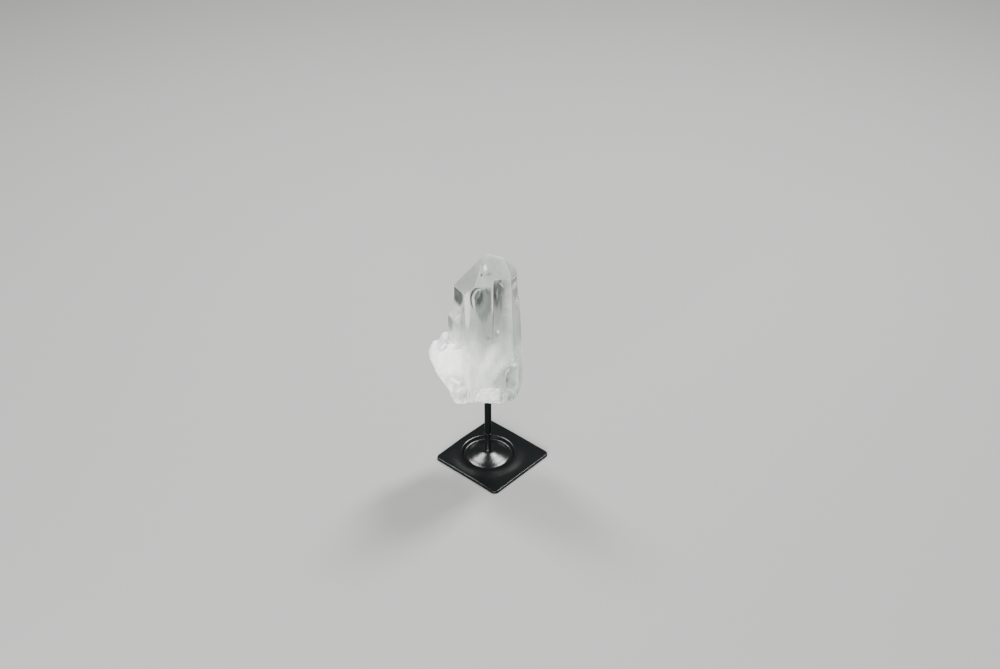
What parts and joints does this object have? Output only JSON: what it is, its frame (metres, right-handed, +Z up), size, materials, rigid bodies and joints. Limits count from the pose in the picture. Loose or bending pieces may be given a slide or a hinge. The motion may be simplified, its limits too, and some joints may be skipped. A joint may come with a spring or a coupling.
{
  "type": "lemurian quartz crystal on a display stand",
  "caption": "Clear to milky quartz crystal with a slanted tip, side point and broken flank, held upright on a short stem over a square black pressed-steel base.",
  "frame": {"origin": "on the surface the base rests on, under the middle of the piece's bounding box", "axes": "+Z up along the stem and the crystal's long axis, -Y towards the front with a corner of the square base pointing to it, +X to the right"},
  "size_m": [0.0995, 0.0952, 0.2079],
  "materials": {
    "quartz": "natural glassy faces above, milky and frosted on the broken parts",
    "black_paint": "satin black paint on pressed steel",
    "black_steel": "blackened turned steel"
  },
  "bodies": {
    "root": {"quartz_crystal": "quartz", "base_plate": "black_paint", "pin": "black_steel", "sleeve": "black_paint"}
  },
  "joints": []
}
